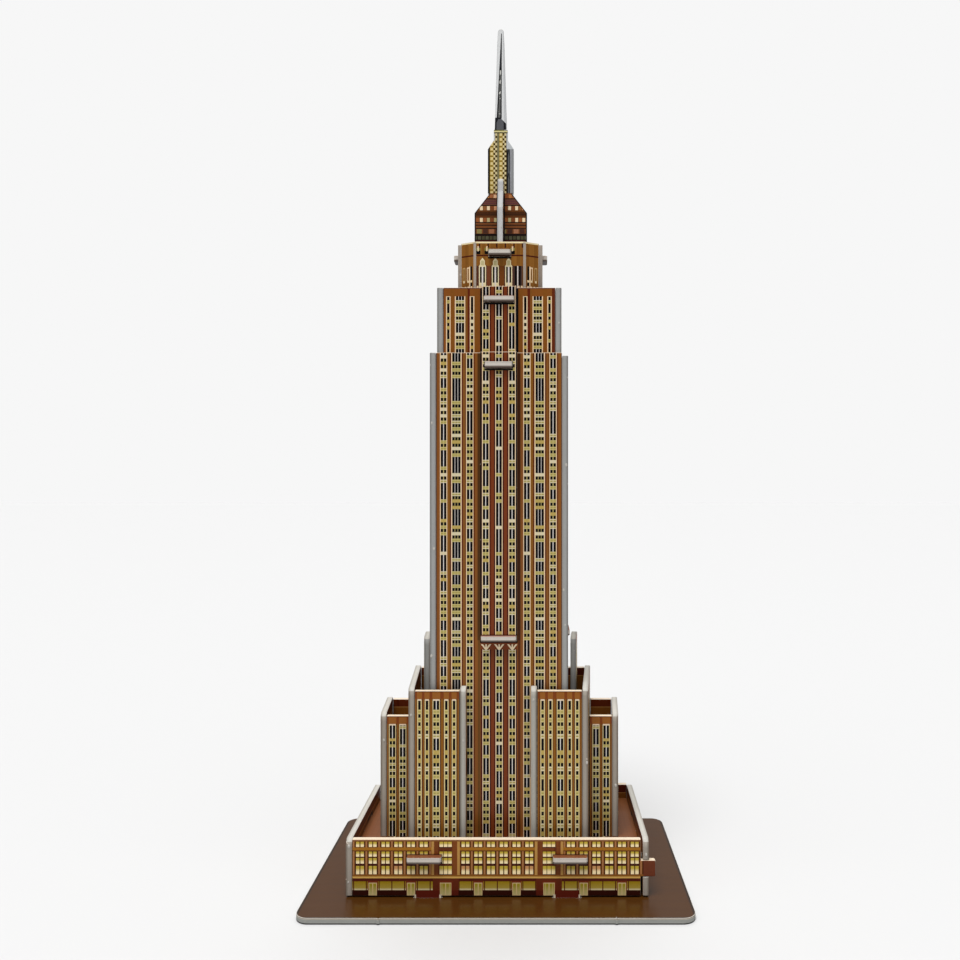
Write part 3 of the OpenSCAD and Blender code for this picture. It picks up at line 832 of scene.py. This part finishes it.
def spire(p, u, z):
    """A thin dark drawing of a spire, left of the middle of a light grey board."""
    above = z > COLLAR_TOP
    height = z - COLLAR_TOP
    p.over(z.between(312.6, 313.2), "#d0c48c")
    p.over(z.between(313.2, 313.6), "#5c5824")
    p.over(z.between(312.1, 312.6), "#3a3420")
    p.over(above & (z > 313.6), "#d5d6d6")
    p.over(above & (u > 1.4 - height * 0.012), "#bfc0c1")
    middle = -0.8 + height * 0.027
    half = 1.2 - height * 0.0255
    aside = abs(u - middle)
    drawn = z.between(318.4, 354.5)
    p.over(drawn & (aside < half), "#0f0f14")
    shine = p.noise(0.4, 0.4, 0.5) > 0.55
    p.over(drawn & (aside < half * 0.42) & (z < 339.0), p.blend(shine, linear("#5e5e5c"),
                                                               linear("#c4c4be")))
    p.over(drawn & (aside < half - 0.3) & (z > 340.0), "#26262c")
    block = z.between(313.6, 318.8) & (u < 2.3 - (z - 316.2 | 0.0) * 1.0)
    p.over(block, "#17171c")
    p.over(block & (abs(u + 0.3) < 1.5 - (z - 316.6 | 0.0) * 0.5) & (z < 318.2), "#56575b")


# ---- Floors and base

def base_print():
    """Dark brown ground with soft clouds, and a darker rim along the edges."""
    p = film("base_print", "#452706", roughness=0.3, coat=0.3, gloss=0.4)
    p.over(p.noise(0.03, 0.03, 0.03, detail=4) * 0.6, "#50300e")
    p.over((p.noise(0.012, 0.5, 0.1) > 0.55) * 0.2, "#3c220c")
    half_x, half_y = CAD_BOX[1][0] / MM, CAD_BOX[1][1] / MM
    p.over((abs(p.y) > half_y - 1.05) | (abs(p.x) > half_x - 1.1), "#2c1a08")
    return p.done()


def deck_print():
    """Paving inside the walls; the tabs that stand out of them are plain red brown."""
    p = film("deck_print", "#764524", roughness=0.32, coat=0.15, gloss=0.25)
    p.over(p.noise(0.06, 0.06, 0.06, detail=4) * 0.7, "#845432")
    grid = (p.x.repeated(2.4) < 0.1) | (p.y.repeated(2.4) < 0.1)
    p.over(grid * 0.35, "#5e3822")
    p.over((abs(p.y) > 29.6) | (abs(p.x) > 56.7), "#7c4a2e")
    return p.done()


def cloudy_print(name, ground, cloud):
    """A plain print with paler clouds, for the floors inside the tower."""
    p = film(name, ground)
    p.over(p.noise(0.1, 0.1, 0.1, detail=3) * 0.6, cloud)
    return p.done()


# ---------------------------------------------------------------- boards

def widest_normal(bm):
    """The direction in which a board is thin: the normal that holds the most area."""
    sums = {}
    for face in bm.faces:
        rounded = tuple(round(part, 2) for part in face.normal)
        key = max(rounded, tuple(-part for part in rounded))
        area, _ = sums.get(key, (0, None))
        sums[key] = (area + face.calc_area(), face.normal.copy())
    return max(sums.values(), key=lambda pair: pair[0])[1]


FOLDED = math.cos(math.radians(27))     # between the crown's middle and its folded panels
# Material slots of a board; TOP takes the cut faces that look up, for walls a lighter foam
# painted as light from above; KEPT marks an old cut face until the rounding is done
OUTER, INNER, FOAM, TOP, KEPT = range(5)
WELD = 1e-6                     # metres


def is_printed(along):
    """Whether a face carries film, from its normal's part along the board's thin direction."""
    return abs(along) > 0.99 or abs(abs(along) - FOLDED) < 0.01


def outwards(bm):
    """The direction of a board's outer face: away from the tower, or down for a floor."""
    thin = widest_normal(bm)
    centre = sum((v.co for v in bm.verts), Vector()) / len(bm.verts)
    if abs(thin.z) > 0.9:
        return Vector((0, 0, -1))
    return -thin if thin.dot(centre) < 0 else thin


def soften_edges(bm, thin, soften):
    """Marks the printed faces, rounds the sharp edges and marks the foam on them."""
    for face in bm.faces:
        along = face.normal.dot(thin)
        if is_printed(along):
            face.material_index = OUTER if along > 0 else INNER
        else:
            face.material_index = KEPT
    sharp = [e for e in bm.edges
             if len(e.link_faces) == 2 and e.calc_face_angle(0) > math.radians(25)]
    bmesh.ops.bevel(bm, geom=sharp, offset=soften * MM, segments=3, profile=0.5,
                    affect="EDGES", clamp_overlap=True, material=FOAM)
    bmesh.ops.remove_doubles(bm, verts=bm.verts, dist=WELD)
    bm.normal_update()
    for face in bm.faces:
        along = face.normal.dot(thin)
        if face.material_index == FOAM and abs(along) > 0.9 and abs(thin.z) < 0.9:
            face.material_index = OUTER if along > 0 else INNER
        elif face.material_index in (FOAM, KEPT):
            # cut faces that look up take the top look: for walls a lighter foam, painted light
            # from above
            face.material_index = TOP if face.normal.z > 0.6 else FOAM


def board(node, outer, inner, foam, foam_top, soften=0.4):
    """Rebuilds a board from its CAD node with softened edges: printed film on its two
    faces, foam on every cut edge; foam_top goes on the cut edges that face up, and for walls
    it is a lighter foam, painted light from above."""
    bm = bmesh.new()
    bm.from_mesh(frame["nodes"][node].data)
    bmesh.ops.remove_doubles(bm, verts=bm.verts, dist=WELD)
    bmesh.ops.dissolve_limit(bm, angle_limit=math.radians(1), verts=bm.verts,
                             edges=bm.edges)
    bm.normal_update()
    thin = outwards(bm)
    soften_edges(bm, thin, soften)
    mesh = bpy.data.meshes.new(node + "_board")
    bm.to_mesh(mesh)
    bm.free()
    mark_across(mesh, thin)
    for material in (outer, inner, foam, foam_top):
        mesh.materials.append(material)
    piece = bpy.data.objects.new(node + "_board", mesh)
    bpy.context.scene.collection.objects.link(piece)
    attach(piece, BODY)
    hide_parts(node)


def mark_across(mesh, thin):
    """Stores where each vertex lies across the board's thickness, from -1 to 1."""
    depths = [v.co.dot(thin) for v in mesh.vertices]
    low, high = min(depths), max(depths)
    marks = mesh.attributes.new("across", "FLOAT", "POINT")
    for mark, depth in zip(marks.data, depths):
        mark.value = 2 * (depth - low) / (high - low) - 1


# Small nibs where boards were broken out of their sheets: (x, y, z, size) on the edges, mm
NIBS = (
    (-27.4, -18.4, 93.5, 0.5), (-26.3, -18.4, 136.9, 0.45), (27.2, -18.4, 170.9, 0.45),
    (26.2, -18.4, 120.4, 0.4), (-27.1, -18.4, 188.0, 0.4), (24.4, -15.4, 229.0, 0.4),
    (14.0, -23.5, 77.2, 0.5), (-14.0, -23.5, 60.8, 0.45), (-34.9, -23.5, 71.0, 0.45),
    (35.2, -23.5, 52.0, 0.5), (-47.2, -14.7, 58.5, 0.4), (47.5, -14.7, 40.0, 0.45),
    (-57.6, -32.0, 22.4, 0.5), (57.9, -32.0, 19.2, 0.5), (-57.9, -32.0, 8.4, 0.4),
    (44.9, -47.8, 2.5, 0.3), (0.5, -8.9, 270.0, 0.35), (-0.4, -8.9, 263.6, 0.3),
    (-16.4, -9.0, 250.0, 0.35),
)


def add_nibs(material):
    """Small uneven flecks of torn foam, each a squashed lump half sunk into its edge."""
    bm = bmesh.new()
    for i, (x, y, z, size) in enumerate(NIBS):
        lump = bmesh.ops.create_icosphere(bm, subdivisions=1, radius=size * MM)["verts"]
        for v in lump:
            uneven = 1 + 0.3 * math.sin(7 * i + 1900 * v.co.x + 2300 * v.co.z)
            v.co = Vector((v.co.x * uneven + x * MM, v.co.y * 0.6 + y * MM,
                           v.co.z * 1.5 * uneven + z * MM))
    mesh = bpy.data.meshes.new("edge_nibs")
    bm.to_mesh(mesh)
    bm.free()
    mesh.materials.append(material)
    nibs = bpy.data.objects.new("edge_nibs", mesh)
    bpy.context.scene.collection.objects.link(nibs)
    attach(nibs, BODY)


def nib_material():
    """Torn foam, patchy and matt."""
    p = Paint("nib_foam", "#bebab3", roughness=0.85, coat=0.0, gloss=0.2)
    p.over(p.noise(3.0, 3.0, 3.0) * 0.5, "#a6a29a")
    return p.done()


def looks_of_nodes():
    """The material slot, the outer and the inner print of every board."""
    podium = (podium_print("podium_front_print", "x"), podium_print("podium_side_print", "y"))
    in_podium = inner_print("podium_inner_print", 21.2)
    # with a black patch, the painted shade of an unused slot
    in_podium_side = inner_print("podium_inner_side_print", 21.2, (-1, 10.5, 18.9, 20.8))
    in_tower = inner_print("tower_inner_print", 205.0)
    in_wing = inner_print("wing_inner_print", 77.0)
    in_annex = inner_print("annex_inner_print", 64.9)
    in_upper = inner_print("upper_inner_print", 239.0)
    tower = tower_front_print()
    tower_side = side_print("tower_side_print")
    upper = upper_front_print()
    upper_side = side_print("upper_side_print", UPPER_TOP - UPPER_BAND)
    bay = bay_print("bay_front_print", BAY_COLUMNS, 0.45)
    upper_bay = bay_print("upper_bay_print", UPPER_BAY_COLUMNS, 0.6, 0.72)
    wings = wing_prints()
    crown, crown_side = crown_print(), crown_side_print()
    base, deck = base_print(), deck_print()
    floor = cloudy_print("floor_print", "#8c5a4a", "#a87868")
    crown_floor = cloudy_print("crown_floor_print", "#9a7446", "#b08a5c")
    # near black print for the floors' undersides: painted shade
    under = cloudy_print("floor_under_painted_shade", "#2a1a12", "#3a241a")
    front = mast_print("mast_front_print", "x", 11.15, 5.0)
    cross = mast_print("mast_cross_print", "y", 8.9, 4.6)
    return {
        "base_plate": ("base_print", base, base),
        "podium_deck": ("floor_print", under, deck),
        "podium_front": ("podium_print", podium[0], in_podium),
        "podium_back": ("podium_print", podium[0], in_podium),
        "podium_left": ("podium_print", podium[1], in_podium_side),
        "podium_right": ("podium_print", podium[1], in_podium_side),
        "tower_front": ("tower_print", tower, in_tower),
        "tower_back": ("tower_print", tower, in_tower),
        "tower_left": ("tower_print", tower_side, in_tower),
        "tower_right": ("tower_print", tower_side, in_tower),
        "bay_front": ("bay_print", bay, in_tower),
        "bay_back": ("bay_print", bay, in_tower),
        "tower_floor": ("floor_print", under, floor),
        "wing_front": ("wing_print", wings["wing"], in_wing),
        "wing_back": ("wing_print", wings["wing"], in_wing),
        "wing_inner": ("wing_print", wings["wing_side"], in_wing),
        "wing_outer": ("wing_print", wings["wing_side"], in_wing),
        "annex_front": ("wing_print", wings["annex"], in_annex),
        "annex_back": ("wing_print", wings["annex"], in_annex),
        "annex_outer": ("wing_print", wings["annex_side"], in_annex),
        "side_bay": ("wing_print", wings["bay_side"], in_wing),
        "upper_front": ("tower_print", upper, in_upper),
        "upper_back": ("tower_print", upper, in_upper),
        "upper_left": ("tower_print", upper_side, in_upper),
        "upper_right": ("tower_print", upper_side, in_upper),
        "upper_bay": ("bay_print", upper_bay, in_upper),
        "upper_floor": ("floor_print", under, floor),
        "crown_floor": ("floor_print", under, crown_floor),
        "crown": ("crown_print", crown, in_upper),
        "crown_left": ("crown_print", crown_side, in_upper),
        "crown_right": ("crown_print", crown_side, in_upper),
        "mast_front": ("mast_print", front, front),
        "mast_cross": ("mast_print", cross, cross),
    }


def edge_of(node):
    """Which foam a board's cut edges are."""
    if "floor" in node or "deck" in node:
        return "floors"
    for word, kind in (("bay_front", "bays"), ("bay_back", "bays"), ("base", "base"),
                       ("outer", "far"), ("podium", "far"), ("wing", "low"), ("annex", "low"),
                       ("mast", "mast"), ("crown", "crown")):
        if word in node:
            return kind
    return ""


def foams_of_edges():
    """The foam of the cut edges, by what edge_of says."""
    return {
        # Copies of the one foam, lighter or darker by where the edges stand.
        "": foam_material("bare_foam", "#979795", "#a6a6a4", "#666462", "#d0cbc4"),
        # the base's bottom rim goes near black: a painted contact shadow; the film wraps over
        # its top rim
        "base": foam_material("bare_foam_base", "#8c8c87", "#9a9c98", "#0a0908", "#b4ad9e",
                              shade=(0.56, 0.66, 0.97), wrap="#46300f"),
        "low": foam_material("bare_foam_low", "#a19d94", "#b2afa7", "#5a4d40", "#d8cec1"),
        "far": foam_material("bare_foam_far", "#978f84", "#a79f95", "#5a4d40", "#cabcae"),
        # the tabs darken towards their undersides: painted shade
        "floors": foam_material("bare_foam_tabs", "#c4bcb2", "#d2cbc2", "#5a4e46", "#e8e2d8",
                                shade=(0.3, 0.5, 0.95)),
        "crown": foam_material("bare_foam_crown", "#a89c90", "#bcb0a4", "#a09488", "#d4cac0"),
        "mast": foam_material("bare_foam_mast", "#bababa", "#c6c6c6", "#9c9c9c", "#e2e2e2"),
        # the bays' outer rims go near black: painted shade
        "bays": foam_material("bare_foam_bays", "#979795", "#a6a6a4", "#100b0a", "#d0cbc4",
                              shade=(0.5, 0.64, 1.0)),
    }


def build_boards():
    """Rebuilds every board with its prints and foams, and adds the nibs."""
    foams = foams_of_edges()
    # Lighter copies of the foam for the cut edges of walls that face up: painted light from
    # above
    lit_front_top_foam = foam_material("bare_foam_top_lit", "#e2d0b8", "#eee0cc", "#d4c0a6", "#f2e6d6")
    lit_side_top_foam = foam_material("bare_foam_side_top_lit", "#bdbab2", "#cdcac3", "#99938a", "#dedad2")
    looks = looks_of_nodes()
    for node in frame["nodes"]:
        look = max((key for key in looks if node.startswith(key)), key=len)
        slot, outer, inner = looks[look]
        on_front = ("front" in node or "back" in node) and "inner" not in node
        top = lit_front_top_foam if on_front else lit_side_top_foam
        edge = edge_of(node)
        if edge == "floors":
            board(node, outer, inner, foams[edge], inner, soften=0.85)
        else:
            board(node, outer, inner, foams[edge], top)
    add_nibs(nib_material())


build_boards()


# ---------------------------------------------------------------- stage

PALE = 0.93                     # brightness of the lit floor, and of the surround behind it

# Lamps: where each one shines from (azimuth from the front, elevation), how wide it looks
# and how strong it is
LAMPS = {
    "key_above": (-18, 70, 30, 2.8),
    "front_left": (-55, 45, 50, 0.35),
    "front_right": (50, 45, 50, 0.3),
    "rear_above": (180, 60, 45, 0.8),
}


def add_stage():
    """A pale floor, an even surround and wide, soft lamps with no falloff, so that the
    floor is as bright far away as it is close by."""
    size = 8                    # metres
    floor = bpy.data.meshes.new("floor")
    floor.from_pydata([(-size, -size, 0), (size, -size, 0), (size, size, 0), (-size, size, 0)],
                      [], [(0, 1, 2, 3)])
    material = bpy.data.materials.new("floor_pale")
    material.use_nodes = True
    shader = material.node_tree.nodes["Principled BSDF"]
    shader.inputs["Base Color"].default_value = (0.65, 0.65, 0.65, 1)
    shader.inputs["Roughness"].default_value = 0.9
    shader.inputs["Specular IOR Level"].default_value = 0.05
    floor.materials.append(material)
    ground = bpy.data.objects.new("floor", floor)
    bpy.context.scene.collection.objects.link(ground)

    for name, (azimuth, elevation, width, strength) in LAMPS.items():
        lamp = bpy.data.lights.new(name, "SUN")
        lamp.angle = math.radians(width)
        lamp.energy = strength
        light = bpy.data.objects.new(name, lamp)
        light.rotation_euler = (math.radians(90 - elevation), 0, math.radians(azimuth))
        bpy.context.scene.collection.objects.link(light)
    add_surround()


def add_surround():
    """Soft light from all round. Seen straight on, the surround is as pale as the floor."""
    world = bpy.data.worlds.new("studio")
    world.use_nodes = True
    nodes, links = world.node_tree.nodes, world.node_tree.links
    light = nodes["Background"]
    light.inputs["Color"].default_value = (1, 1, 1, 1)
    light.inputs["Strength"].default_value = 0.25
    seen = nodes.new("ShaderNodeBackground")
    seen.inputs["Color"].default_value = (1, 1, 1, 1)
    seen.inputs["Strength"].default_value = PALE
    mix = nodes.new("ShaderNodeMixShader")
    links.new(nodes.new("ShaderNodeLightPath").outputs["Is Camera Ray"], mix.inputs[0])
    links.new(light.outputs[0], mix.inputs[1])
    links.new(seen.outputs[0], mix.inputs[2])
    links.new(mix.outputs[0], nodes["World Output"].inputs["Surface"])
    bpy.context.scene.world = world
    bpy.context.scene.view_settings.view_transform = "Standard"


add_stage()
